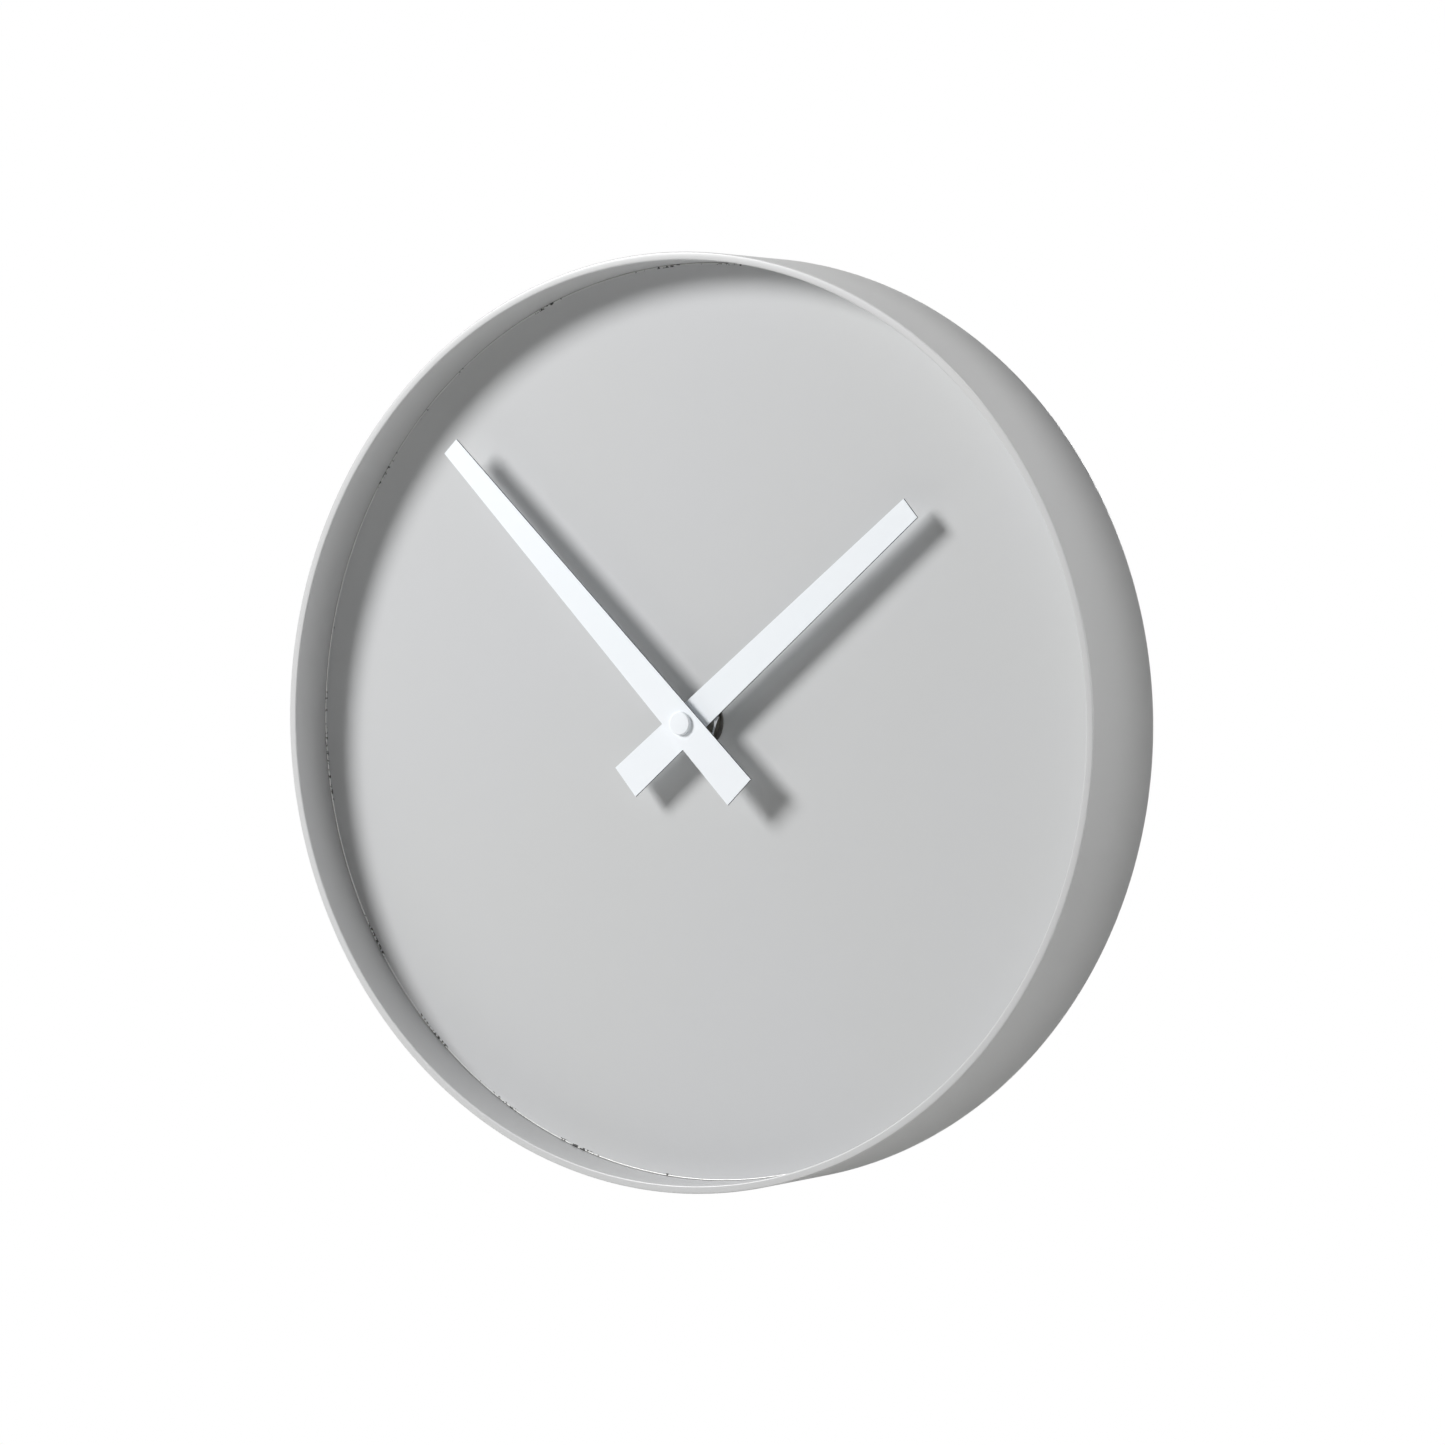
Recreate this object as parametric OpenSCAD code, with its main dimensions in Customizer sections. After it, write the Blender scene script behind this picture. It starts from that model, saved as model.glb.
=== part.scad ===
// Round wall clock: a deep painted drum, a recessed plain dial, two bar hands and a quartz movement.
// Drawn with the front towards +Z, then turned so that the front faces -Y, +Z is up and the wall is y = 0.

/* [Case] */
// Outside diameter of the drum
case_d = 300; // [240:5:400]
// Depth of the drum from the wall to the front rim
case_depth = 42.2; // [40:0.2:60]
// Thickness of the drum wall
wall_t = 2.6; // [2:0.2:4]
// Width of the back ring, from the drum's outside
ring_w = 12; // [8:1:20]
// Thickness of the back ring
ring_t = 2; // [1.5:0.5:3]
// Radius of the drum's back corner
back_r = 1.8; // [1:0.2:1.8]
// Rounding of both edges of the front rim
rim_round = 0.5; // [0.3:0.1:0.9]

/* [Dial] */
// Depth of the dial face below the front rim
dial_recess = 17; // [15.4:0.2:18]
// Thickness of the dial
dial_t = 1.5; // [1:0.5:2]
// Gap between the dial's edge and the drum
dial_gap = 0.1; // [0.1:0.1:0.5]
// Distance of the dial studs from the centre, measured in from the drum wall
stud_inset = 8.5; // [8:0.5:12]
// Diameter of the dial studs
stud_d = 3; // [2.5:0.5:3]
// Length of the dial studs
stud_len = 8; // [7:1:10]

/* [Hands] */
// Minute hand, axis to tip
minute_len = 125.9; // [90:0.5:128]
// Hour hand, axis to tip
hour_len = 106.4; // [70:0.5:115]
// Minute hand, axis to the end of its tail
minute_tail = 30.5; // [20:0.5:36]
// Hour hand, axis to the end of its tail
hour_tail = 30.3; // [20:0.5:36]
// Width of the minute hand at its tip
minute_tip_w = 6.6; // [4:0.2:9]
// Width of the hour hand at its tip
hour_tip_w = 7.7; // [4:0.2:9]
// Width of both hands at the tail
tail_w = 12; // [9:0.5:14]
// Thickness of the sheet of the hands
hand_t = 0.7; // [0.5:0.1:0.8]
// Height of the hour hand's face above the dial
hour_h = 8.6; // [7.6:0.1:8.8]
// Height of the minute hand's face above the dial
minute_h = 12; // [11.8:0.1:12.6]
// Angle of the hour hand, clockwise from twelve
hour_angle = 50.1; // [0:0.1:360]
// Angle of the minute hand, clockwise from twelve
minute_angle = 315.2; // [0:0.1:360]
// Diameter of the cap on the minute hand
cap_d = 7.4; // [6:0.2:9]
// Height of the cap
cap_h = 1.4; // [1.2:0.1:2.6]

/* [Movement] */
// Width and height of the movement's housing
box_w = 56; // [56:1:60]
// Depth of the movement's housing
box_depth = 15.5; // [15.5:0.1:16]
// Wall of the movement's housing
box_t = 1.5; // [1.2:0.1:1.5]
// Outside diameter of the threaded bush
bush_d = 8; // [7.6:0.1:9]
// Width across the flats of the fixing nut
nut_af = 14; // [12:0.5:16]
// Thickness of the fixing nut
nut_h = 2.2; // [1.8:0.1:2.4]
// Diameter of the fixing washer
washer_d = 17; // [16.6:0.2:22]
// Thickness of the fixing washer
washer_t = 0.5; // [0.4:0.1:0.6]
// Thickness of the rubber washer behind the dial
gasket_t = 1; // [0.8:0.1:1.2]
// Diameter of the setting knob
knob_d = 14; // [10:1:16]
// Diameter of the AA cell
cell_d = 14.5; // [14.2:0.1:14.5]
// Length of the AA cell with its nub
cell_len = 50.4; // [50:0.1:50.5]

/* [Hanger] */
// Width of the hanger plate
hanger_w = 60; // [50:2:80]
// Height of the hanger plate
hanger_h = 34; // [32:1:44]
// Thickness of the hanger plate
hanger_t = 1.5; // [1.2:0.1:2]
// Diameter of the keyhole for the screw's head
key_d = 10; // [9:0.5:11]
// Width of the keyhole's slot for the screw's shank
slot_w = 4.5; // [4:0.5:5]

/* [Hidden] */
$fn = 96;

fit = 0.07;                          // radial clearance of a shaft in its bore
slack = 0.3;                         // clearance between parts that pass each other
eps = 0.01;

case_r = case_d / 2;
inner_r = case_r - wall_t;
dial_front = case_depth - dial_recess;
dial_back = dial_front - dial_t;
dial_r = inner_r - dial_gap;

bracket_t = 1.5;
bracket_w = 16;
bracket_leg = 13;
bracket_reach = 14;
stud_r = stud_d / 2;
stud_at = inner_r - stud_inset;
stud_angles = [45:90:315];
stud_nut_af = stud_d * 5.5 / 3;
stud_nut_h = stud_d * 0.8;

// The movement hangs behind the dial: every depth below runs back from the dial.
box_front = dial_back - gasket_t;
box_back = box_front - box_depth;
box_split = box_front - 7.5;
box_inner = box_front - box_t;
half_in = box_w / 2 - box_t;
bush_r = bush_d / 2;
bush_top = dial_front + washer_t + nut_h + 0.8;

tube_r = 2.55;                       // hour tube
arbor_r = 1.65;                      // minute arbor
hour_z = dial_front + hour_h;        // faces of the hands
minute_z = dial_front + minute_h;
arbor_top = minute_z + 0.7;
collet_h = 1.6;

// Motion work: 12:36 and 10:40 give one turn of the hour hand in twelve of the minute hand.
cannon_n = 12;
wheel_n = 36;
pinion_n = 10;
hour_n = 40;
set_n = 14;
mod_a = 0.5;                         // module of the cannon pinion, motion wheel and setting pinion
centre_gap = (cannon_n + wheel_n) * mod_a / 2;
mod_b = 2 * centre_gap / (pinion_n + hour_n);
wheel_dir = 175;
set_dir = 60;
motion_at = centre_gap * [cos(wheel_dir), sin(wheel_dir)];
set_at = motion_at + (wheel_n + set_n) * mod_a / 2 * [cos(set_dir), sin(set_dir)];
phase_wheel = wheel_dir + 180 + 180 / wheel_n + wheel_dir * cannon_n / wheel_n;
phase_hour = wheel_dir + 180 / hour_n + (wheel_dir + 180 - phase_wheel) * pinion_n / hour_n;
phase_set = set_dir + 180 + 180 / set_n + (set_dir - phase_wheel) * wheel_n / set_n;
hour_wheel_top = box_inner - slack;
hour_wheel_t = 1.5;
cannon_top = hour_wheel_top - hour_wheel_t - 0.5;
cannon_t = 2;
wheel_top = cannon_top - slack;
wheel_t = 1.5;
pin_r = 0.75;
knob_shaft_r = 1.5;
knob_t = 2.9;
arbor_low = box_back + box_t + 0.4;

// Battery bay, below the wheels and open at the back.
cell_r = cell_d / 2;
cell_y = -half_in + slack + cell_r;
cell_z = box_inner - slack - cell_r;
rib_t = 1;
rib_y = cell_y + cell_r + slack;
contact_t = 0.3;
nub_len = 1.4;
nub_r = 2.7;
cell_right = half_in - contact_t - 0.1;
cell_left = cell_right - cell_len;

// Stepping motor, in the upper right corner.
coil_r = 3.2;
coil_len = 15;
coil_at = [13, half_in - 4.5];
stator_t = 0.8;
stator_z = box_back + box_t + 3;
coil_z = stator_z + stator_t + coil_r + 0.9;
rotor_at = [18, 9];
rotor_r = 2.6;
rotor_pin_r = 0.6;
board_t = 1;
board_at = [16, 1];
board_size = [18, 9];

hanger_top = case_r - 3.5;
key_y = hanger_top - ring_w - key_d / 2 - 1.5;
key_slot = 7;
rivet_r = 1.6;
rivet_head_r = 2.8;
rivet_y = sqrt(pow(case_r - ring_w / 2 - 1, 2) - pow(hanger_w / 2 - 8, 2));

module front() { rotate([90, 0, 0]) children(); }
module at(p, z = 0) { translate([p[0], p[1], z]) children(); }
module ring(r_out, r_in, z0, z1) {
    translate([0, 0, z0]) difference() {
        cylinder(r = r_out, h = z1 - z0);
        translate([0, 0, -1]) cylinder(r = r_in, h = z1 - z0 + 2);
    }
}
module block(x, y, z) {
    translate([x[0], y[0], z[0]]) cube([x[1] - x[0], y[1] - y[0], z[1] - z[0]]);
}

// Involute gear outline with one tooth centred on the +X axis.
pressure = 20;
backlash = 0.08;
function involute(rb, r) = tan(acos(min(1, rb / r))) * 180 / PI - acos(min(1, rb / r));
function half_tooth(n, m, r) =
    90 / n - backlash * 90 / (PI * n * m / 2)
    + involute(n * m / 2 * cos(pressure), n * m / 2)
    - involute(n * m / 2 * cos(pressure), r);
function polar(r, a) = [r * cos(a), r * sin(a)];
module gear(n, m, addendum, t) {
    base = n * m / 2 * cos(pressure);
    tip = m * (n / 2 + addendum);
    root = m * (n / 2 - 1.2);
    low = max(base, root);
    radii = [low, (low + tip) / 2, tip];
    linear_extrude(t) polygon([
        for (k = [0:n - 1])
            for (p = concat(
                    [polar(root, -half_tooth(n, m, low))],
                    [for (r = radii) polar(r, -half_tooth(n, m, r))],
                    [for (i = [2:-1:0]) polar(radii[i], half_tooth(n, m, radii[i]))],
                    [polar(root, half_tooth(n, m, low))]))
                [p[0] * cos(360 * k / n) - p[1] * sin(360 * k / n),
                 p[0] * sin(360 * k / n) + p[1] * cos(360 * k / n)]]);
}

// Rolled drum with a flat front rim, its edges eased.
module drum() {
    rotate_extrude($fn = 240) {
        translate([inner_r, 0]) square([wall_t - back_r, back_r + eps]);
        translate([case_r - back_r, back_r]) intersection() {
            circle(r = back_r);
            translate([0, -back_r]) square(back_r);
        }
        translate([inner_r, back_r]) square([wall_t, case_depth - rim_round - back_r]);
        translate([inner_r + rim_round, back_r]) square([wall_t - 2 * rim_round, case_depth - back_r]);
        for (r = [inner_r + rim_round, case_r - rim_round])
            translate([r, case_depth - rim_round]) circle(r = rim_round, $fn = 32);
    }
}

module case_top() {
    color("#c9cacb") front() intersection() {
        drum();
        block([-case_d, case_d], [0, case_d], [-1, case_depth + 1]);
    }
}

module case_bottom() {
    color("#c9cacb") front() intersection() {
        drum();
        block([-case_d, case_d], [-case_d, 0], [-1, case_depth + 1]);
    }
}

// Flat ring welded inside the back of the drum.
module back_ring() {
    color("#c9cacb") front() rotate_extrude($fn = 240)
        translate([case_r - ring_w, 0]) square([ring_w - wall_t, ring_t]);
}

module dial_plate() {
    color("#c6c7c8") front() ring(dial_r, bush_r + 0.2, dial_back, dial_front, $fn = 240);
}

module dial_studs() {
    color("silver") front() for (a = stud_angles)
        rotate(a) translate([stud_at, 0, dial_back - stud_len]) cylinder(r = stud_r, h = stud_len);
}

module dial_brackets() {
    color("gray") front() for (a = stud_angles) rotate(a) difference() {
        union() {
            intersection() {
                ring(inner_r, inner_r - bracket_t, dial_back - bracket_leg, dial_back);
                block([0, case_r], [-bracket_w / 2, bracket_w / 2], [0, case_depth]);
            }
            block([inner_r - bracket_reach, inner_r - bracket_t / 2], [-bracket_w / 2, bracket_w / 2],
                  [dial_back - bracket_t, dial_back]);
        }
        translate([stud_at, 0, 0]) cylinder(r = stud_r + fit, h = case_depth);
    }
}

module stud_nuts() {
    color("silver") front() for (a = stud_angles)
        rotate(a) translate([stud_at, 0, dial_back - bracket_t - stud_nut_h]) difference() {
            cylinder(d = stud_nut_af / cos(30), h = stud_nut_h, $fn = 6);
            translate([0, 0, -1]) cylinder(r = stud_r + fit, h = stud_nut_h + 2);
        }
}

// Steel plate riveted to the back ring, with a keyhole that narrows upwards.
module hanger_plate() {
    color("gray") front() difference() {
        intersection() {
            block([-hanger_w / 2, hanger_w / 2], [hanger_top - hanger_h, hanger_top],
                  [ring_t, ring_t + hanger_t]);
            cylinder(r = inner_r - slack, h = case_depth);
        }
        translate([0, key_y, -1]) cylinder(d = key_d, h = case_depth);
        translate([0, key_y + key_slot, -1]) cylinder(d = slot_w, h = case_depth);
        block([-slot_w / 2, slot_w / 2], [key_y, key_y + key_slot], [-1, case_depth]);
        for (s = [-1, 1]) translate([s * (hanger_w / 2 - 8), rivet_y, -1])
            cylinder(r = rivet_r + eps, h = case_depth);
    }
}

module hanger_rivets() {
    color("silver") front() for (s = [-1, 1])
        translate([s * (hanger_w / 2 - 8), rivet_y, ring_t]) {
            cylinder(r = rivet_r, h = hanger_t);
            translate([0, 0, hanger_t]) cylinder(r = rivet_head_r, h = 1.2);
        }
}

module front_housing() {
    color("#2c2d30") front() difference() {
        union() {
            block([-box_w / 2, box_w / 2], [-box_w / 2, box_w / 2], [box_inner, box_front]);
            difference() {
                block([-box_w / 2, box_w / 2], [-box_w / 2, box_w / 2], [box_split, box_front]);
                block([-half_in, half_in], [-half_in, half_in], [0, box_front]);
            }
            block([-half_in, half_in], [rib_y, rib_y + rib_t], [box_split, box_inner]);
        }
        cylinder(r = bush_r, h = case_depth);
    }
}

module rear_housing() {
    color("#2c2d30") front() difference() {
        union() {
            difference() {
                block([-box_w / 2, box_w / 2], [-box_w / 2, box_w / 2], [box_back, box_split]);
                block([-half_in, half_in], [-half_in, half_in], [0, box_front]);
            }
            block([-half_in, half_in], [rib_y, half_in], [box_back, box_back + box_t]);
            block([-half_in, half_in], [rib_y, rib_y + rib_t], [box_back, box_split]);
            at([0, 0], box_back) cylinder(r = arbor_r + 2, h = box_t + 3.5);
            at(set_at, box_back) cylinder(r = knob_shaft_r + 1.5, h = box_t + 5);
            at(rotor_at, box_back) cylinder(r = rotor_pin_r + 1.2, h = box_t + 2);
            at([22, -1], box_back) cylinder(r = 2, h = stator_z - board_t - box_back);
            at([7, half_in - 2.5], box_back) cylinder(r = 1.8, h = stator_z - box_back);
        }
        translate([0, 0, arbor_low]) cylinder(r = arbor_r + fit, h = case_depth);
        at(set_at) cylinder(r = knob_shaft_r + fit, h = case_depth);
        at(rotor_at, box_back + box_t) cylinder(r = rotor_pin_r + fit, h = case_depth);
    }
}

module threaded_bush() { color("#b59a55") front() ring(bush_r, tube_r + fit, box_inner, bush_top); }
module rubber_washer() {
    color("#202020") front() ring(washer_d / 2, bush_r + 0.1, box_front, dial_back);
}
module fixing_washer() {
    color("#38383a") front() ring(washer_d / 2, bush_r + 0.1, dial_front, dial_front + washer_t);
}
module fixing_nut() {
    color("#4a4a4c") front() translate([0, 0, dial_front + washer_t]) rotate(-17) difference() {
        cylinder(d = nut_af / cos(30), h = nut_h, $fn = 6);
        translate([0, 0, -1]) cylinder(r = bush_r + 0.05, h = nut_h + 2);
    }
}

module motion_pin() {
    color("silver") front() at(motion_at, wheel_top - wheel_t - 0.6)
        cylinder(r = pin_r, h = box_inner - (wheel_top - wheel_t - 0.6));
}

module battery_spring() {
    color("silver") front() translate([-half_in, cell_y, cell_z]) rotate([0, 90, 0]) {
        translate([-4.5, -4.5, 0]) cube([9, 9, contact_t]);
        for (i = [0:2]) translate([0, 0, contact_t + 0.3 + i * 0.55])
            rotate_extrude() translate([4 - i * 0.7, 0]) circle(r = 0.5, $fn = 24);
    }
}

module battery_contact() {
    color("silver") front()
        block([half_in - contact_t, half_in], [cell_y - 5, cell_y + 5], [cell_z - 4.5, cell_z + 4.5]);
}

module circuit_board() {
    color("#2f6b3c") front() at(board_at - board_size / 2, stator_z - board_t) difference() {
        cube([board_size[0], board_size[1], board_t]);
        at(rotor_at - board_at + board_size / 2, -1) cylinder(r = 3, h = board_t + 2);
    }
}

module quartz_crystal() {
    color("silver") front() translate([board_at[0] - 7, board_at[1] - 2, stator_z + 1])
        rotate([0, 90, 0]) cylinder(r = 1, h = 6);
}

module motor_coil() {
    color("#b5602c") front() at(coil_at, coil_z) rotate([0, 90, 0]) {
        translate([0, 0, -coil_len / 2]) cylinder(r = coil_r, h = coil_len);
        for (s = [-1, 1]) translate([0, 0, s * (coil_len / 2) - 0.5]) cylinder(r = coil_r + 0.8, h = 1);
    }
}

module stator() {
    color("#9a9c9e") front() difference() {
        union() {
            block([coil_at[0] - coil_len / 2 - 2, coil_at[0] + coil_len / 2 + 2],
                  [coil_at[1] - 2.5, coil_at[1] + 2.5], [stator_z, stator_z + stator_t]);
            block([rotor_at[0] - 5, rotor_at[0] + 5], [rotor_at[1] - 4, coil_at[1]],
                  [stator_z, stator_z + stator_t]);
        }
        at(rotor_at) cylinder(r = rotor_r + slack, h = case_depth);
    }
}

module rotor() {
    color("#55565a") front() at(rotor_at) {
        translate([0, 0, box_back + box_t + eps]) cylinder(r = rotor_pin_r, h = 8);
        translate([0, 0, stator_z - 0.4]) cylinder(r = rotor_r, h = stator_t + 1.2);
    }
}

module hour_wheel() {
    color("#d9d4c4") front() difference() {
        union() {
            translate([0, 0, hour_wheel_top - hour_wheel_t]) rotate(phase_hour)
                gear(hour_n, mod_b, 0.62, hour_wheel_t);
            translate([0, 0, hour_wheel_top - hour_wheel_t])
                cylinder(r = tube_r, h = hour_z + 0.6 - hour_wheel_top + hour_wheel_t);
        }
        cylinder(r = arbor_r + fit, h = case_depth);
    }
}

// Flat tapered bar with a round hole and a short collet behind it, pointing up.
module bar_hand(len, tail, tip_w, hole_r, collet_r) {
    difference() {
        union() {
            translate([0, 0, -hand_t]) linear_extrude(hand_t) polygon([
                [-tip_w / 2, len], [tip_w / 2, len], [tail_w / 2, -tail], [-tail_w / 2, -tail]]);
            translate([0, 0, -hand_t - collet_h]) cylinder(r = collet_r, h = collet_h + eps);
        }
        translate([0, 0, -hand_t - collet_h - 1]) cylinder(r = hole_r, h = hand_t + collet_h + 2);
    }
}

module hour_hand() {
    color("white") front() translate([0, 0, hour_z]) rotate(-hour_angle)
        bar_hand(hour_len, hour_tail, hour_tip_w, tube_r, tube_r + 1.2);
}

module minute_hand() {
    color("white") front() translate([0, 0, minute_z]) rotate(-minute_angle)
        bar_hand(minute_len, minute_tail, minute_tip_w, arbor_r, arbor_r + 1.2);
}

module minute_arbor() {
    color("#b59a55") front() {
        translate([0, 0, arbor_low + 0.1]) cylinder(r = arbor_r, h = arbor_top - arbor_low - 0.1);
        translate([0, 0, cannon_top - cannon_t]) gear(cannon_n, mod_a, 0.9, cannon_t);
    }
}

module hand_cap() {
    round_r = 0.4;
    color("white") front() translate([0, 0, minute_z]) difference() {
        rotate_extrude() {
            square([cap_d / 2, cap_h - round_r]);
            square([cap_d / 2 - round_r, cap_h]);
            translate([cap_d / 2 - round_r, cap_h - round_r]) circle(r = round_r, $fn = 32);
        }
        translate([0, 0, -1]) cylinder(r = arbor_r, h = 1 + arbor_top - minute_z);
    }
}

module motion_wheel() {
    color("#d9d4c4") front() at(motion_at) difference() {
        union() {
            translate([0, 0, wheel_top - wheel_t]) rotate(phase_wheel)
                gear(wheel_n, mod_a, 0.75, wheel_t);
            translate([0, 0, wheel_top - eps]) rotate(phase_wheel)
                gear(pinion_n, mod_b, 0.9, hour_wheel_top - wheel_top);
        }
        cylinder(r = pin_r + fit, h = case_depth);
    }
}

module setting_knob() {
    color("#2c2d30") front() at(set_at) {
        translate([0, 0, box_back - slack - knob_t]) cylinder(d = knob_d, h = knob_t);
        translate([0, 0, box_back - slack - eps]) cylinder(r = knob_shaft_r, h = wheel_top - box_back);
        translate([0, 0, wheel_top - wheel_t - 0.2]) rotate(phase_set)
            gear(set_n, mod_a, 0.8, wheel_t + 0.4);
    }
}

module battery_cell() {
    color("#7d8f6a") front() translate([cell_left, cell_y, cell_z]) rotate([0, 90, 0]) {
        cylinder(r = cell_r, h = cell_len - nub_len);
        cylinder(r = nub_r, h = cell_len);
    }
}

case_top();
case_bottom();
back_ring();
dial_plate();
dial_studs();
dial_brackets();
stud_nuts();
hanger_plate();
hanger_rivets();
front_housing();
rear_housing();
threaded_bush();
rubber_washer();
fixing_washer();
fixing_nut();
motion_pin();
battery_spring();
battery_contact();
circuit_board();
quartz_crystal();
motor_coil();
stator();
rotor();
hour_wheel();
hour_hand();
minute_arbor();
minute_hand();
hand_cap();
motion_wheel();
setting_knob();
battery_cell();
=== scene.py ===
import math
import bmesh
import bpy
from mathutils import Matrix, Vector


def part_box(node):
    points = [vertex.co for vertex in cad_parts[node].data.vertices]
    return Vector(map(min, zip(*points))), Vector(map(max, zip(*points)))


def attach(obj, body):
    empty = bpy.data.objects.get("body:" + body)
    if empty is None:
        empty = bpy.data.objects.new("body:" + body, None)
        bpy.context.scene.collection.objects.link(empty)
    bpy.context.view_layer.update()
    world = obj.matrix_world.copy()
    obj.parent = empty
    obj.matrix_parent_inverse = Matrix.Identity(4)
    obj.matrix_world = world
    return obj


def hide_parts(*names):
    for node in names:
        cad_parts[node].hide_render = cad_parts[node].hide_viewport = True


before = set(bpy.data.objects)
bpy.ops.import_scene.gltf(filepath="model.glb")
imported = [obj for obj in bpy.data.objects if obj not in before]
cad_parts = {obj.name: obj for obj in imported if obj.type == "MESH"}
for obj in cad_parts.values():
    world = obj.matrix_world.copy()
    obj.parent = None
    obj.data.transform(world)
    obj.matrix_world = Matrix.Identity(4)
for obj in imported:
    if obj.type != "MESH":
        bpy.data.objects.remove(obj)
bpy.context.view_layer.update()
mm = 0.001

# ---------------------------------------------------------------------------------------------------
# Camera: a long lens, thirty-one degrees to the clock's right and almost level with its centre.
# It stands a little off the line to the middle of the front rim, which keeps the rim centred as seen.
front_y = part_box("case_top")[0].y
azimuth = math.radians(31.07)
elevation = math.radians(1.68)
camera_gap = 1.70
camera_aside = 15.73 * mm
camera_rise = 0.37 * mm
camera_lens = 132.98
back_way = Vector((math.sin(azimuth) * math.cos(elevation), -math.cos(azimuth) * math.cos(elevation),
                   math.sin(elevation)))
right_way = Vector((math.cos(azimuth), math.sin(azimuth), 0))
up_way = back_way.cross(right_way)
camera_data = bpy.data.cameras.new("camera")
camera_data.lens = camera_lens
camera_data.sensor_width = 36
camera_data.clip_start = 0.05
camera = bpy.data.objects.new("camera", camera_data)
camera.matrix_world = Matrix((right_way, up_way, back_way)).transposed().to_4x4()
camera.location = (Vector((0, front_y, 0)) + back_way * camera_gap + right_way * camera_aside
                   + up_way * camera_rise)
bpy.context.scene.collection.objects.link(camera)
bpy.context.scene.camera = camera
bpy.context.scene.view_settings.view_transform = "Standard"

# ---------------------------------------------------------------------------------------------------
# Studio: a pale floor well below the hanging clock, a white surround and four soft lamps. The key
# stands to the left and above, the fill and top light the drum's outside, the rear one its back.


def srgb(code):
    """Linear colour of an sRGB hex code such as "c9cacb"."""
    parts = [int(code[i:i + 2], 16) / 255 for i in (0, 2, 4)]
    return [p / 12.92 if p <= 0.04045 else ((p + 0.055) / 1.055) ** 2.4 for p in parts] + [1]


def add(tree, kind, inputs=None, **settings):
    """Adds one node with its settings, and fills or links its inputs."""
    made = tree.nodes.new(kind)
    for key, value in settings.items():
        setattr(made, key, value)
    for key, value in (inputs or {}).items():
        if isinstance(value, bpy.types.NodeSocket):
            tree.links.new(value, made.inputs[key])
        else:
            made.inputs[key].default_value = value
    return made


def plain_paint(name, colour):
    """Flat matt paint for what stands around the clock."""
    made = bpy.data.materials.new(name)
    made.use_nodes = True
    shader = made.node_tree.nodes["Principled BSDF"]
    shader.inputs["Base Color"].default_value = srgb(colour)
    shader.inputs["Roughness"].default_value = 0.9
    return made


def soft_lamp(name, place, aim, size, watts):
    """Round area lamp turned towards its aim; size is its diameter in metres."""
    data = bpy.data.lights.new(name, "AREA")
    data.shape = "DISK"
    data.size = size
    data.energy = watts
    lamp = bpy.data.objects.new(name, data)
    lamp.location = place
    lamp.rotation_euler = (Vector(aim) - Vector(place)).to_track_quat("-Z", "Y").to_euler()
    bpy.context.scene.collection.objects.link(lamp)


rim_middle = (0, front_y, 0)
key_way = Vector((-0.76, -1.0, 0.58)).normalized()
key_gap = 1.6
soft_lamp("key", key_way * key_gap, rim_middle, 0.55, 23.1)
soft_lamp("fill", (1.9, 0.0, 0.35), rim_middle, 0.4, 9.5)
soft_lamp("top", (0.9, 0.02, 2.0), rim_middle, 0.4, 12)
soft_lamp("rear", (0.3, 1.9, 0.8), (0, 0, 0), 0.7, 6)

world = bpy.data.worlds.new("studio")
bpy.context.scene.world = world
world.use_nodes = True
sky = world.node_tree
sky.nodes.clear()
rays = add(sky, "ShaderNodeLightPath")
direct = add(sky, "ShaderNodeMath", {0: rays.outputs["Is Camera Ray"],
                                     1: rays.outputs["Is Transmission Ray"]}, operation="MAXIMUM")
seen = add(sky, "ShaderNodeMath", {0: direct.outputs[0], 1: rays.outputs["Is Glossy Ray"]},
           operation="MAXIMUM")
ambient = add(sky, "ShaderNodeBackground", {"Color": srgb("f5f5f4"), "Strength": 0.108})
white = add(sky, "ShaderNodeBackground", {"Color": (1, 1, 1, 1), "Strength": 1.0})
both = add(sky, "ShaderNodeMixShader", {0: seen.outputs[0], 1: ambient.outputs[0], 2: white.outputs[0]})
add(sky, "ShaderNodeOutputWorld", {"Surface": both.outputs[0]})

floor_reach = 0.9
floor_z = -0.5
floor_mesh = bpy.data.meshes.new("floor")
floor_mesh.from_pydata([(-floor_reach, -floor_reach, floor_z), (floor_reach, -floor_reach, floor_z),
                        (floor_reach, floor_reach, floor_z), (-floor_reach, floor_reach, floor_z)],
                       [], [(0, 1, 2, 3)])
floor = bpy.data.objects.new("floor", floor_mesh)
bpy.context.scene.collection.objects.link(floor)
floor_mesh.materials.append(plain_paint("pale_floor", "f2f2f0"))

# Wall card: a pale wall around the hanging clock, open behind it and unseen by the camera. It gives
# the drum's outside the light and the shade that a real wall would. It stands just clear of the drum.
card_inner = 0.1502
card_outer = 0.35
card_y = -0.001
card_steps = 96
card_points = []
card_faces = []
for i in range(card_steps):
    turn = 2 * math.pi * i / card_steps
    for r in (card_inner, card_outer):
        card_points.append((r * math.cos(turn), card_y, r * math.sin(turn)))
    n = (i + 1) % card_steps
    card_faces.append((2 * i, 2 * i + 1, 2 * n + 1, 2 * n))
card_mesh = bpy.data.meshes.new("wall_card")
card_mesh.from_pydata(card_points, [], card_faces)
card_mesh.materials.append(plain_paint("pale_wall_card", "bebebd"))
wall_card = bpy.data.objects.new("wall_card", card_mesh)
wall_card.visible_camera = False
wall_card.visible_transmission = False
bpy.context.scene.collection.objects.link(wall_card)

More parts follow.
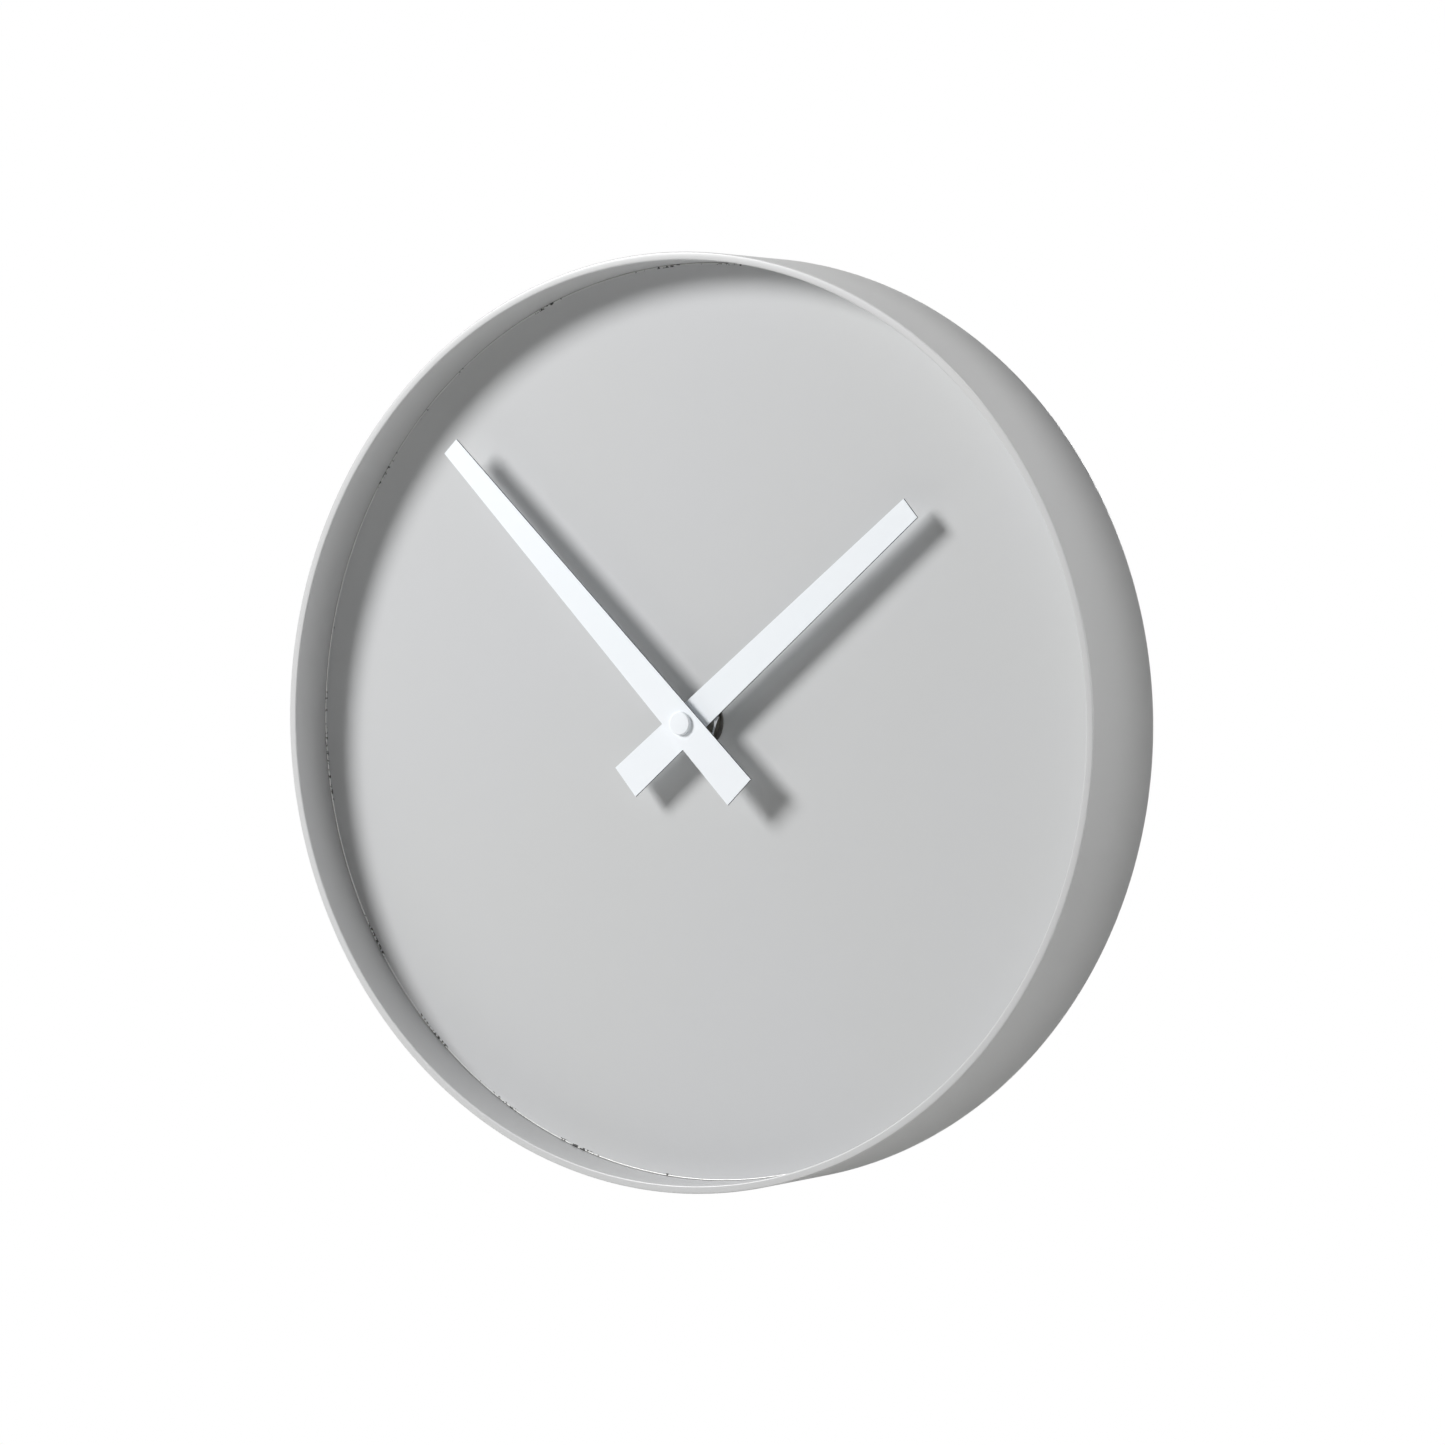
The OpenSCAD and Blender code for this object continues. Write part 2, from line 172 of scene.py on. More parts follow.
# ---------------------------------------------------------------------------------------------------
# Drum case: two half rounds of steel strip, rolled and butt-welded, with a flat, softly edged front
# rim and a flat ring welded in at the back. Light grey powder coat with a fine orange peel.
case_low, case_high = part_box("case_top")
case_r = case_high.x
case_depth = -case_low.y
wall_t = 2.6 * mm
ring_w = 12 * mm
ring_t = 2 * mm
back_r = 1.8 * mm


def new_material(name):
    """Empty node material and its tree."""
    made = bpy.data.materials.new(name)
    made.use_nodes = True
    made.node_tree.nodes.clear()
    return made, made.node_tree


def finish(tree, shader, height, strength=0.1, depth=0.02 * mm, edge=0.0):
    """Links the shader to the output, with a bump made from a height socket over softened edges."""
    bump = add(tree, "ShaderNodeBump", {"Height": height, "Strength": strength, "Distance": depth})
    if edge > 0:
        soft = add(tree, "ShaderNodeBevel", {"Radius": edge}, samples=6)
        tree.links.new(soft.outputs[0], bump.inputs["Normal"])
    tree.links.new(bump.outputs[0], shader.inputs["Normal"])
    add(tree, "ShaderNodeOutputMaterial", {"Surface": shader.outputs[0]})


def powder_coat(name, light, dark, rough, peel_mm=0.7, peel=0.12, drift_mm=90):
    """Polyester powder coat: orange peel under a smoother skin and a faint drift of tone."""
    made, tree = new_material(name)
    place = add(tree, "ShaderNodeTexCoord").outputs["Object"]
    grain = add(tree, "ShaderNodeTexNoise", {"Vector": place, "Scale": 1 / (peel_mm * mm), "Detail": 3.0})
    drift = add(tree, "ShaderNodeTexNoise", {"Vector": place, "Scale": 1 / (drift_mm * mm), "Detail": 1.5})
    tone = add(tree, "ShaderNodeMix", {0: drift.outputs["Fac"], 6: srgb(light), 7: srgb(dark)},
               data_type="RGBA")
    gloss = add(tree, "ShaderNodeMapRange", {"Value": grain.outputs["Fac"], "To Min": rough - 0.04,
                                             "To Max": rough + 0.05})
    shader = add(tree, "ShaderNodeBsdfPrincipled", {"Base Color": tone.outputs[2], "IOR": 1.5,
                                                    "Roughness": gloss.outputs[0], "Coat Weight": 0.6,
                                                    "Coat Roughness": 0.28})
    finish(tree, shader, grain.outputs["Fac"], peel, 0.03 * mm)
    return made


def arc(cx, cz, r, start, end, steps):
    """Points of an arc in the profile plane, angles in degrees from the outward direction."""
    angles = [math.radians(start + (end - start) * i / steps) for i in range(steps + 1)]
    return [(cx + r * math.cos(a), cz + r * math.sin(a)) for a in angles]


def dress(obj, body, material, slot, *nodes):
    """Gives a new piece its material and body and hides the nodes that it stands for; slot is not used."""
    obj.data.materials.append(material)
    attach(obj, body)
    if nodes:
        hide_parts(*nodes)
    return obj


def solid(name, mesh_work, sharp=35):
    """Makes an object from a bmesh, welded, closed and smooth except at sharp edges."""
    bmesh.ops.remove_doubles(mesh_work, verts=mesh_work.verts, dist=1e-7)
    bmesh.ops.recalc_face_normals(mesh_work, faces=mesh_work.faces)
    mesh = bpy.data.meshes.new(name)
    mesh_work.to_mesh(mesh)
    mesh_work.free()
    mesh.polygons.foreach_set("use_smooth", [True] * len(mesh.polygons))
    mesh.set_sharp_from_angle(angle=math.radians(sharp))
    obj = bpy.data.objects.new(name, mesh)
    bpy.context.scene.collection.objects.link(obj)
    return obj


def sweep_round(work, profile, centre=(0, 0), steps=96):
    """Turns a closed profile of (radius, height off the wall) about an axis along Y."""
    rings = []
    for i in range(steps):
        turn = 2 * math.pi * i / steps
        rings.append([work.verts.new((centre[0] + r * math.cos(turn), -z, centre[1] + r * math.sin(turn)))
                      for r, z in profile])
    for i in range(steps):
        here, there = rings[i], rings[(i + 1) % steps]
        for k in range(len(profile)):
            n = (k + 1) % len(profile)
            if profile[k][0] < 1e-9 and profile[n][0] < 1e-9:
                continue
            work.faces.new((here[k], here[n], there[n], there[k]))


def turned(name, profile, centre=(0, 0), steps=96, sharp=35):
    """Full turn of a profile of (radius, height) pairs about the line along Y through centre."""
    work = bmesh.new()
    sweep_round(work, profile, centre, steps)
    return solid(name, work, sharp)


rim_round = 0.5 * mm
case_profile = (
    [(case_r - wall_t, 0)]
    + arc(case_r - back_r, back_r, back_r, -90, 0, 8)
    + arc(case_r - rim_round, case_depth - rim_round, rim_round, 0, 90, 6)
    + arc(case_r - wall_t + rim_round, case_depth - rim_round, rim_round, 90, 180, 6)
)
ring_round = 0.3 * mm
ring_profile = (
    [(case_r - wall_t, 0), (case_r - wall_t, ring_t)]
    + arc(case_r - ring_w + ring_round, ring_t - ring_round, ring_round, 90, 180, 3)
    + [(case_r - ring_w, 0)]
)
case_paint = powder_coat("powder_coated_steel_case", "cfcfd0", "c9caca", 0.34)
dress(turned("drum_case", case_profile, steps=360), "case", case_paint, "case_paint",
      "case_top", "case_bottom")
dress(turned("welded_back_ring", ring_profile, steps=360), "case", case_paint, "case_paint", "back_ring")

# ---------------------------------------------------------------------------------------------------
# Dial: a flat steel disc whose edge is turned up in a small cove, fitted close inside the drum.
# Matt powder coat, faintly cloudy, with small dark specks along the seam at its edge.
dial_low, dial_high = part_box("dial_plate")
dial_r = dial_high.x
dial_front = -dial_low.y
dial_back = -dial_high.y
dial_cove = 0.28 * mm
dial_hole = 4.2 * mm
dial_bevel = 0.2 * mm
hole_bevel = 0.1 * mm
dial_profile = (
    [(dial_hole, dial_back), (dial_r - dial_bevel, dial_back), (dial_r, dial_back + dial_bevel),
     (dial_r, dial_front + dial_cove)]
    + arc(dial_r - dial_cove, dial_front + dial_cove, dial_cove, -4, -90, 10)
    + [(dial_hole + hole_bevel, dial_front), (dial_hole, dial_front - hole_bevel)]
)


def seam_dark_specks(tree, place):
    """Small dark specks along the dial's edge, as a factor from 0 to 1."""
    spread = add(tree, "ShaderNodeVectorMath", {0: place, 1: (1, 0, 1)}, operation="MULTIPLY")
    radius = add(tree, "ShaderNodeVectorMath", {0: spread.outputs[0]}, operation="LENGTH")
    edge = add(tree, "ShaderNodeMapRange", {"Value": radius.outputs["Value"],
                                            "From Min": dial_r - 0.75 * mm, "From Max": dial_r - 0.6 * mm})
    speck = add(tree, "ShaderNodeTexNoise", {"Vector": place, "Scale": 1 / (1.1 * mm), "Detail": 2.0})
    patch = add(tree, "ShaderNodeTexNoise", {"Vector": place, "Scale": 1 / (22 * mm), "Detail": 1.0})
    near = add(tree, "ShaderNodeMath", {0: speck.outputs["Fac"], 1: patch.outputs["Fac"]},
               operation="MULTIPLY")
    dark_fleck = add(tree, "ShaderNodeMapRange", {"Value": near.outputs[0], "From Min": 0.33, "From Max": 0.36})
    return add(tree, "ShaderNodeMath", {0: dark_fleck.outputs[0], 1: edge.outputs[0]},
               operation="MULTIPLY").outputs[0]


def dial_coat():
    """Matt powder coat, with dark specks along the seam."""
    made, tree = new_material("matt_powder_coated_dial")
    place = add(tree, "ShaderNodeTexCoord").outputs["Object"]
    grain = add(tree, "ShaderNodeTexNoise", {"Vector": place, "Scale": 1 / (0.8 * mm), "Detail": 3.0})
    cloud = add(tree, "ShaderNodeTexNoise", {"Vector": place, "Scale": 1 / (110 * mm), "Detail": 2.0})
    tone = add(tree, "ShaderNodeMix", {0: cloud.outputs["Fac"], 6: srgb("cacbce"), 7: srgb("c9cac9")},
               data_type="RGBA")
    colour = add(tree, "ShaderNodeMix", {0: seam_dark_specks(tree, place), 6: tone.outputs[2],
                                         7: srgb("3a3a3a")}, data_type="RGBA")
    gloss = add(tree, "ShaderNodeMapRange", {"Value": grain.outputs["Fac"], "To Min": 0.55, "To Max": 0.68})
    shader = add(tree, "ShaderNodeBsdfPrincipled", {"Base Color": colour.outputs[2], "IOR": 1.5,
                                                    "Roughness": gloss.outputs[0]})
    finish(tree, shader, grain.outputs["Fac"], 0.1, 0.02 * mm)
    return made


def bare_edge():
    """Bare steel on the dial's turned-up edge, uneven in tone, with the same dark specks."""
    made, tree = new_material("wiped_bare_dial_edge")
    place = add(tree, "ShaderNodeTexCoord").outputs["Object"]
    grain = add(tree, "ShaderNodeTexNoise", {"Vector": place, "Scale": 1 / (0.3 * mm), "Detail": 3.0})
    tone = add(tree, "ShaderNodeMix", {0: grain.outputs["Fac"], 6: srgb("bcbcba"), 7: srgb("969694")},
               data_type="RGBA")
    colour = add(tree, "ShaderNodeMix", {0: seam_dark_specks(tree, place), 6: tone.outputs[2],
                                         7: srgb("3a3a3a")}, data_type="RGBA")
    gloss = add(tree, "ShaderNodeMapRange", {"Value": grain.outputs["Fac"], "To Min": 0.3, "To Max": 0.45})
    shader = add(tree, "ShaderNodeBsdfPrincipled", {"Base Color": colour.outputs[2], "Metallic": 1.0,
                                                    "Roughness": gloss.outputs[0]})
    finish(tree, shader, grain.outputs["Fac"], 0.15, 0.01 * mm)
    return made


dial_disc = dress(turned("dial_disc", dial_profile, steps=360), "case", dial_coat(), "dial_paint",
                  "dial_plate")
dial_disc.data.materials.append(bare_edge())
for face in dial_disc.data.polygons:
    if face.center.y < -dial_front - 0.01 * mm:
        face.material_index = 1

# ---------------------------------------------------------------------------------------------------
# Dial fixings: welded M3 studs on the dial, folded steel brackets in the drum and hexagon nuts.
# Bright zinc plating: a pale metal with a fine uneven grain and a slightly cloudy tone.


def zinc_plate(name, light, rough, grain_mm=0.35):
    """Bright plated steel with a fine uneven grain and a cloudy tone."""
    made, tree = new_material(name)
    place = add(tree, "ShaderNodeTexCoord").outputs["Object"]
    grain = add(tree, "ShaderNodeTexNoise", {"Vector": place, "Scale": 1 / (grain_mm * mm), "Detail": 4.0,
                                             "Distortion": 0.4})
    cloud = add(tree, "ShaderNodeTexNoise", {"Vector": place, "Scale": 1 / (6 * mm)})
    tone = add(tree, "ShaderNodeMix", {0: cloud.outputs["Fac"], 6: srgb(light), 7: srgb("8f9194")},
               data_type="RGBA")
    gloss = add(tree, "ShaderNodeMapRange", {"Value": grain.outputs["Fac"], "To Min": rough - 0.08,
                                             "To Max": rough + 0.12})
    shader = add(tree, "ShaderNodeBsdfPrincipled", {"Base Color": tone.outputs[2], "Metallic": 1.0,
                                                    "Roughness": gloss.outputs[0]})
    finish(tree, shader, grain.outputs["Fac"], 0.15, 0.01 * mm, 0.2 * mm)
    return made


def threaded(name, r, z0, z1, pitch, bore=0, centres=((0, 0),)):
    """Turned rod or tube with a V thread cut as close rings."""
    work = bmesh.new()
    count = int((z1 - z0) / pitch)
    cut = 0.5 * pitch
    profile = [(bore, z0), (r - cut, z0)]
    for i in range(count):
        profile.append((r, z0 + (i + 0.5) * pitch))
        profile.append((r - cut, z0 + (i + 1) * pitch))
    profile += [(r - cut, z1), (bore, z1)]
    for centre in centres:
        sweep_round(work, profile, centre, 48)
    return solid(name, work, 25)


def hex_nut(work, centre, flats, z0, z1, bore, turn=0.0, steps=72):
    """Hexagon nut built as rings about its bore, its rims chamfered at about thirty degrees.

    The front chamfer is the deeper one and takes the object's second material.
    """
    corner = flats / 2 / math.cos(math.radians(30))
    rise = (corner - flats / 2) * math.tan(math.radians(30))
    back_face = flats / 2 * 0.98
    front_face = flats / 2 * 0.93
    front_extra = 0.25 * mm
    bore_bevel = 0.3 * mm
    front_chamfer = 3
    levels = []
    for i in range(steps):
        a = 2 * math.pi * i / steps
        hexa = flats / 2 / math.cos((a + math.pi / 6) % (math.pi / 3) - math.pi / 6)
        drop = (hexa - flats / 2) / (corner - flats / 2) * rise
        ring = [(bore, z0), (back_face, z0), (hexa, z0 + drop), (hexa, z1 - drop - front_extra),
                (front_face, z1), (bore + bore_bevel, z1), (bore, z1 - bore_bevel)]
        levels.append([work.verts.new((centre[0] + r * math.cos(a + turn), -z,
                                       centre[1] + r * math.sin(a + turn))) for r, z in ring])
    for i in range(steps):
        here, there = levels[i], levels[(i + 1) % steps]
        for k in range(len(here)):
            n = (k + 1) % len(here)
            side = work.faces.new((here[k], here[n], there[n], there[k]))
            side.material_index = int(k == front_chamfer)


def recoat(material, *names):
    """Puts a material on nodes that keep their own shape."""
    for each in names:
        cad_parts[each].data.materials.clear()
        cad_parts[each].data.materials.append(material)


zinc = zinc_plate("bright_zinc_plated_steel", "c4c7ca", 0.32)
stud_low, stud_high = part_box("dial_studs")
stud_r = 1.5 * mm
stud_ring = (stud_high.x - stud_r) * math.sqrt(2)
stud_centres = [(stud_ring * math.cos(math.radians(a)), stud_ring * math.sin(math.radians(a)))
                for a in (45, 135, 225, 315)]
dress(threaded("welded_studs", stud_r, -stud_high.y, -stud_low.y, 0.5 * mm, 0, stud_centres),
      "case", zinc, "zinc_steel", "dial_studs")
nut_low, nut_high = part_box("stud_nuts")
stud_nut_flats = 5.5 * mm
nut_play = 0.05 * mm
nut_work = bmesh.new()
for spot in stud_centres:
    hex_nut(nut_work, spot, stud_nut_flats, -nut_high.y, -nut_low.y, stud_r + nut_play,
            math.atan2(spot[1], spot[0]))
stud_nuts = dress(solid("stud_hex_nuts", nut_work, 30), "case", zinc, "zinc_steel", "stud_nuts")
stud_nuts.data.materials.append(zinc)
recoat(zinc, "dial_brackets", "hanger_plate", "hanger_rivets", "motion_pin")

# ---------------------------------------------------------------------------------------------------
# Centre fixing: a turned brass bush through the dial, a blackened washer, a large hexagon nut and a
# rubber washer behind. Washer and nut are chemically blackened; the nut's chamfer is turned bright.


def blackened(name, light, rough):
    """Chemically blackened steel, paler on its sharp edges: rubbed wear and a painted highlight."""
    made, tree = new_material(name)
    place = add(tree, "ShaderNodeTexCoord").outputs["Object"]
    wear = add(tree, "ShaderNodeTexNoise", {"Vector": place, "Scale": 1 / (1.5 * mm), "Detail": 4.0})
    edges = add(tree, "ShaderNodeNewGeometry").outputs["Pointiness"]
    # Paler sharp edges: partly rubbed wear, partly a painted highlight standing in for the glint along
    # them.
    rub_and_highlight = add(tree, "ShaderNodeMapRange", {"Value": edges, "From Min": 0.52, "From Max": 0.6,
                                           "To Max": 0.75})
    base = add(tree, "ShaderNodeMix", {0: wear.outputs["Fac"], 6: srgb(light), 7: srgb("2b2a29")},
               data_type="RGBA")
    tone = add(tree, "ShaderNodeMix", {0: rub_and_highlight.outputs[0], 6: base.outputs[2], 7: srgb("b9b6b0")},
               data_type="RGBA")
    gloss = add(tree, "ShaderNodeMapRange", {"Value": wear.outputs["Fac"], "To Min": rough - 0.06,
                                             "To Max": rough + 0.1})
    shader = add(tree, "ShaderNodeBsdfPrincipled", {"Base Color": tone.outputs[2], "Metallic": 1.0,
                                                    "Roughness": gloss.outputs[0]})
    finish(tree, shader, wear.outputs["Fac"], 0.12, 0.01 * mm)
    return made


black_steel = blackened("blackened_steel", "4a4846", 0.34)
nut_steel = blackened("blackened_nut_steel", "302f2e", 0.3)
fix_low, fix_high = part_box("fixing_nut")
fix_flats = 14 * mm
fix_turn = math.radians(-17)
bush_r = 4 * mm
fix_work = bmesh.new()
hex_nut(fix_work, (0, 0), fix_flats, -fix_high.y, -fix_low.y, bush_r + nut_play, fix_turn, 120)
centre_nut = dress(solid("centre_hex_nut", fix_work, 25), "case", nut_steel, "black_steel",
                   "fixing_nut")
centre_nut.data.materials.append(zinc_plate("steel_turned_bright", "d9dbdc", 0.2, 0.2))
wash_low, wash_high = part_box("fixing_washer")
wash_r = wash_high.x
wash_back, wash_front = -wash_high.y, -wash_low.y
wash_hole = bush_r + 0.1 * mm
wash_round = 0.15 * mm
wash_profile = ([(wash_hole, wash_back), (wash_r, wash_back)]
                + arc(wash_r - wash_round, wash_front - wash_round, wash_round, 0, 90, 4)
                + [(wash_hole, wash_front)])
dress(turned("centre_washer", wash_profile), "case", black_steel, "black_steel", "fixing_washer")


def turned_brass():
    """Turned brass with fine, uneven tool marks."""
    made, tree = new_material("turned_brass")
    place = add(tree, "ShaderNodeTexCoord").outputs["Object"]
    marks = add(tree, "ShaderNodeTexNoise", {"Vector": place, "Scale": 1 / (0.3 * mm), "Detail": 2.0})
    tone = add(tree, "ShaderNodeMix", {0: marks.outputs["Fac"], 6: srgb("c3a45c"), 7: srgb("a98b49")},
               data_type="RGBA")
    gloss = add(tree, "ShaderNodeMapRange", {"Value": marks.outputs["Fac"], "To Min": 0.22, "To Max": 0.36})
    shader = add(tree, "ShaderNodeBsdfPrincipled", {"Base Color": tone.outputs[2], "Metallic": 1.0,
                                                    "Roughness": gloss.outputs[0]})
    finish(tree, shader, marks.outputs["Fac"], 0.1, 0.01 * mm)
    return made


brass = turned_brass()
bush_low, bush_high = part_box("threaded_bush")
bush_pitch = 0.75 * mm
bush_bore = 2.62 * mm
dress(threaded("threaded_bush_m8", bush_high.x, -bush_high.y, -bush_low.y, bush_pitch, bush_bore),
      "case", brass, "brass", "threaded_bush")


def moulded(name, light, dark, rough, grain_mm=0.5, ior=1.52, depth=0.02 * mm):
    """Moulded plastic or rubber, or a dull film: a fine grain with a little mottling."""
    made, tree = new_material(name)
    place = add(tree, "ShaderNodeTexCoord").outputs["Object"]
    grain = add(tree, "ShaderNodeTexNoise", {"Vector": place, "Scale": 1 / (grain_mm * mm), "Detail": 3.0})
    cloud = add(tree, "ShaderNodeTexNoise", {"Vector": place, "Scale": 1 / (12 * mm)})
    tone = add(tree, "ShaderNodeMix", {0: cloud.outputs["Fac"], 6: srgb(light), 7: srgb(dark)},
               data_type="RGBA")
    gloss = add(tree, "ShaderNodeMapRange", {"Value": grain.outputs["Fac"], "To Min": rough - 0.06,
                                             "To Max": rough + 0.08})
    shader = add(tree, "ShaderNodeBsdfPrincipled", {"Base Color": tone.outputs[2], "IOR": ior,
                                                    "Roughness": gloss.outputs[0]})
    finish(tree, shader, grain.outputs["Fac"], 0.3, depth, 0.3 * mm)
    return made


recoat(moulded("moulded_nitrile_rubber", "262626", "1c1c1c", 0.75), "rubber_washer")

# ---------------------------------------------------------------------------------------------------
# Movement housing and setting knob: two halves of moulded black ABS that snap together, with a bay for
# one AA cell that is open at the back. Fine spark-eroded texture; the knob has a ribbed rim.
black_abs = moulded("moulded_black_abs", "303236", "26282b", 0.5)
recoat(black_abs, "front_housing", "rear_housing")
knob_low, knob_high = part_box("setting_knob")
knob_centre = ((knob_low.x + knob_high.x) / 2, (knob_low.z + knob_high.z) / 2)
knob_r = (knob_high.x - knob_low.x) / 2
rib_depth = 0.45 * mm
knob_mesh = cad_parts["setting_knob"].data.copy()
knob_mesh.transform(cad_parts["setting_knob"].matrix_world)
knob_mesh.materials.clear()
for vertex in knob_mesh.vertices:
    arm = Vector((vertex.co.x - knob_centre[0], 0, vertex.co.z - knob_centre[1]))
    if arm.length > knob_r - 0.05 * mm:
        vertex.co -= arm.normalized() * rib_depth
knob = bpy.data.objects.new("setting_knob_disc", knob_mesh)
bpy.context.scene.collection.objects.link(knob)
dress(knob, "setting", black_abs, "housing_abs", "setting_knob")
rib_count = 40
rib_low = -knob_high.y + 0.3 * mm
rib_high = -knob_high.y + 2.6 * mm
rib_profile = [(0, rib_low), (rib_depth, rib_low), (rib_depth, rib_high), (0, rib_high)]
rib_work = bmesh.new()
for i in range(rib_count):
    a = 2 * math.pi * i / rib_count
    sweep_round(rib_work, rib_profile, (knob_centre[0] + (knob_r - rib_depth) * math.cos(a),
                                        knob_centre[1] + (knob_r - rib_depth) * math.sin(a)), 8)
rib_abs = moulded("moulded_knob_ribs", "34363a", "2a2c2f", 0.45)
dress(solid("knob_ribs", rib_work, 60), "setting", rib_abs, "housing_abs")

# ---------------------------------------------------------------------------------------------------
# Battery and contacts: an AA cell in a plain olive and ochre jacket, a conical wire spring at its
# flat end and a bent strip at its nub. Jacket: shrunk PVC film, glossy with faint ripples.
cell_low, cell_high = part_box("battery_cell")
cell_r = (cell_high.z - cell_low.z) / 2
cell_len = cell_high.x - cell_low.x
nub_len = 1.4 * mm
shoulder = 0.8 * mm


def along_x(obj, place):
    """Lays a piece that was turned about Y, heights off the wall, along X from a given point."""
    quarter_turn = Matrix(((0, -1, 0), (1, 0, 0), (0, 0, 1))).to_4x4()
    obj.data.transform(Matrix.Translation(place) @ quarter_turn)
    return obj


def shrink_jacket():
    """Printed PVC film, olive with an ochre band towards the nub."""
    made, tree = new_material("shrunk_pvc_jacket")
    place = add(tree, "ShaderNodeTexCoord").outputs["Object"]
    parts = add(tree, "ShaderNodeSeparateXYZ", {0: place})
    band_start = cell_low.x + 38 * mm
    band_end = cell_low.x + 38.3 * mm
    band = add(tree, "ShaderNodeMapRange", {"Value": parts.outputs["X"], "From Min": band_start,
                                            "From Max": band_end})
    tone = add(tree, "ShaderNodeMix", {0: band.outputs[0], 6: srgb("5f6b58"), 7: srgb("b08d4c")},
               data_type="RGBA")
    ripple = add(tree, "ShaderNodeTexNoise", {"Vector": place, "Scale": 1 / (3 * mm), "Detail": 2.0})
    gloss = add(tree, "ShaderNodeMapRange", {"Value": ripple.outputs["Fac"], "To Min": 0.22,
                                             "To Max": 0.34})
    shader = add(tree, "ShaderNodeBsdfPrincipled", {"Base Color": tone.outputs[2], "IOR": 1.54,
                                                    "Roughness": gloss.outputs[0]})
    finish(tree, shader, ripple.outputs["Fac"], 0.08, 0.02 * mm)
    return made


body_len = cell_len - nub_len
jacket_profile = ([(0, 0), (cell_r - shoulder, 0)]
                  + arc(cell_r - shoulder, shoulder, shoulder, -90, 0, 6)
                  + arc(cell_r - shoulder, body_len - shoulder, shoulder, 0, 90, 6)
                  + [(cell_r * 0.62, body_len), (cell_r * 0.6, body_len - 0.3 * mm),
                     (0, body_len - 0.3 * mm)])
cell_place = (cell_low.x, (cell_low.y + cell_high.y) / 2, (cell_low.z + cell_high.z) / 2)
dress(along_x(turned("cell_jacket", jacket_profile), cell_place), "battery", shrink_jacket(),
      "cell_jacket", "battery_cell")
nub_r = 2.7 * mm
nub_round = 0.4 * mm
seal_r = cell_r * 0.58
seal_low = body_len - 0.4 * mm
seal_high = body_len - 0.15 * mm
nub_profile = ([(0, seal_low), (seal_r, seal_low), (seal_r, seal_high), (nub_r, seal_high)]
               + arc(nub_r - nub_round, cell_len - nub_round, nub_round, 0, 90, 4) + [(0, cell_len)])
nickel = zinc_plate("nickel_plated_spring_steel", "d3d3cf", 0.24, 0.2)
dress(along_x(turned("cell_nub", nub_profile, steps=64), cell_place), "battery", nickel, "spring_steel")
recoat(nickel, "battery_contact", "quartz_crystal")

spring_low, spring_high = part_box("battery_spring")
spring_y = (spring_low.y + spring_high.y) / 2
spring_z = (spring_low.z + spring_high.z) / 2
wire_r = 0.35 * mm
spring_turns = 2.5
spring_wide = 4.0 * mm
spring_narrow = 2.4 * mm
spring_curve = bpy.data.curves.new("contact_spring", "CURVE")
spring_curve.dimensions = "3D"
spring_curve.bevel_depth = wire_r
spring_curve.bevel_resolution = 4
spring_curve.use_fill_caps = True
strand = spring_curve.splines.new("POLY")
strand_steps = 90
strand.points.add(strand_steps)
for i, point in enumerate(strand.points):
    share = i / strand_steps
    a = 2 * math.pi * spring_turns * share
    r = spring_wide + (spring_narrow - spring_wide) * share
    x = spring_low.x + wire_r + share * (spring_high.x - spring_low.x - 2 * wire_r)
    point.co = (x, spring_y + r * math.cos(a), spring_z + r * math.sin(a), 1)
spring_wire = bpy.data.objects.new("contact_spring", spring_curve)
bpy.context.scene.collection.objects.link(spring_wire)
dress(spring_wire, "case", nickel, "spring_steel", "battery_spring")
plate_t = 0.3 * mm
plate_w = 9 * mm
plate_work = bmesh.new()
bmesh.ops.create_cube(plate_work, size=1)
bmesh.ops.scale(plate_work, vec=(plate_t, plate_w, plate_w), verts=plate_work.verts)
bmesh.ops.translate(plate_work, vec=(spring_low.x + plate_t / 2, spring_y, spring_z),
                    verts=plate_work.verts)
bmesh.ops.bevel(plate_work, geom=plate_work.edges, offset=0.08 * mm, segments=2, affect="EDGES")
dress(solid("spring_plate", plate_work), "case", nickel, "spring_steel")

# ---------------------------------------------------------------------------------------------------
# Motor and board: a green circuit board, a coil of enamelled copper wire on its core, a laminated
# stator and a small magnet rotor. All of it is sealed inside the housing.


def wound_copper():
    """Enamelled wire in close turns along X."""
    made, tree = new_material("enamelled_copper_winding")
    place = add(tree, "ShaderNodeTexCoord").outputs["Object"]
    turns = 1 / (0.4 * mm) / 6.28
    wire = add(tree, "ShaderNodeTexWave", {"Vector": place, "Scale": turns, "Distortion": 0.6},
               bands_direction="X")
    tone = add(tree, "ShaderNodeMix", {0: wire.outputs["Fac"], 6: srgb("7c3a18"), 7: srgb("c66f38")},
               data_type="RGBA")
    shader = add(tree, "ShaderNodeBsdfPrincipled", {"Base Color": tone.outputs[2], "Metallic": 0.7,
                                                    "Roughness": 0.35})
    finish(tree, shader, wire.outputs["Fac"], 0.5, 0.1 * mm)
    return made


recoat(wound_copper(), "motor_coil")
recoat(moulded("green_solder_mask_board", "2f6f40", "27603a", 0.35, 1.0), "circuit_board")
recoat(zinc_plate("stamped_stator_steel", "a9abad", 0.38), "stator")
recoat(blackened("sintered_magnet", "55565a", 0.5), "rotor")

# ---------------------------------------------------------------------------------------------------
# Motion work: moulded acetal wheels on a steel pin and the brass minute arbor with its cannon pinion.
# Natural acetal is ivory, slightly waxy and translucent, with a low sheen.
recoat(moulded("moulded_natural_acetal", "ddd8c8", "d2ccb9", 0.42, 0.4, 1.48), "hour_wheel",
       "motion_wheel")
recoat(brass, "minute_arbor")
